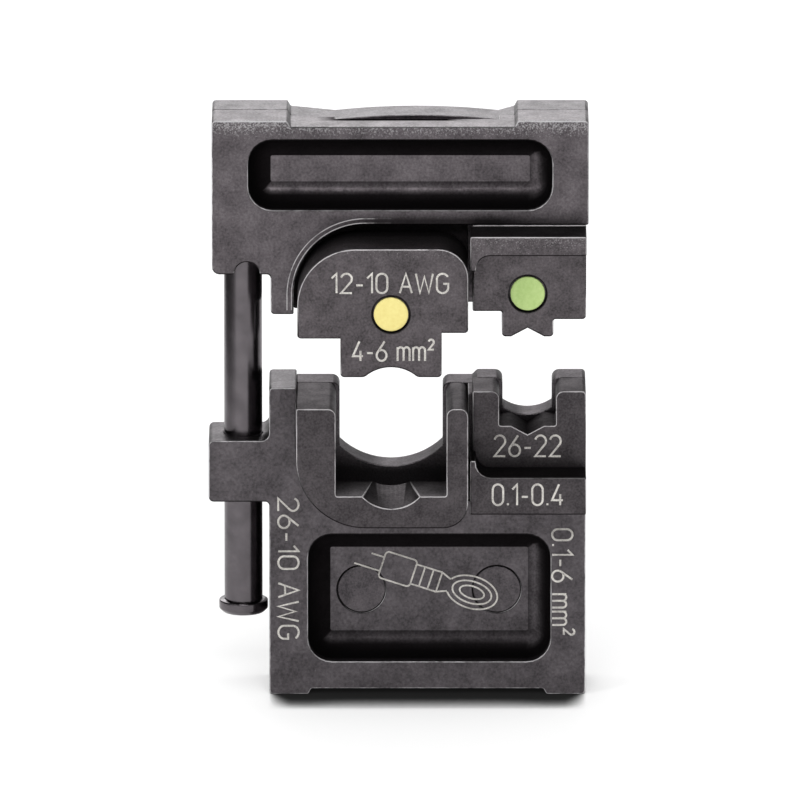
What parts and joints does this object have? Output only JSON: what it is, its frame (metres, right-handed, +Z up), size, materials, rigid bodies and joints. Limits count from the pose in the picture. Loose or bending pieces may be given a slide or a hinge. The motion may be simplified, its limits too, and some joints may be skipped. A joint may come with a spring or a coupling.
{
  "type": "crimp die insert",
  "caption": "Blackened steel crimp die insert: an upper die with punches slides on a guide pin over a lower die with open nests.",
  "frame": {"origin": "centre of the bounding box in X and Y, on the floor under the feet of the lower die", "axes": "+Z up along the slide, +X to the right as the crimping faces are seen, +Y away from the viewer to the flat back"},
  "size_m": [0.0298, 0.0116, 0.0466],
  "materials": {
    "die_steel": "black oxide, satin, with worn bright edges",
    "plate_steel": "black oxide, satin, ground flat",
    "pin_steel": "black oxide over turned steel, smooth",
    "fastener_steel": "black oxide, set flush",
    "yellow_enamel": "filled enamel, satin",
    "green_enamel": "filled enamel, satin",
    "ring_rubber": "nitrile rubber, matt"
  },
  "bodies": {
    "lower_die": {"lower_body": "die_steel", "lower_back_plate": "plate_steel", "large_nest": "die_steel", "small_nest": "die_steel", "lower_rivets": "fastener_steel", "nest_dowels": "fastener_steel", "friction_ring": "ring_rubber"},
    "upper_die": {"upper_body": "die_steel", "upper_back_plate": "plate_steel", "large_punch": "die_steel", "small_punch": "die_steel", "plate_pins": "fastener_steel", "punch_studs": "fastener_steel", "yellow_mark": "yellow_enamel", "green_mark": "green_enamel", "guide_pin": "pin_steel"}
  },
  "joints": [
    {"name": "die_slide", "type": "slide", "parent": "lower_die", "child": "upper_die", "axis": [0, 0, 1], "range_m": [-0.00555, 0.0085]}
  ]
}
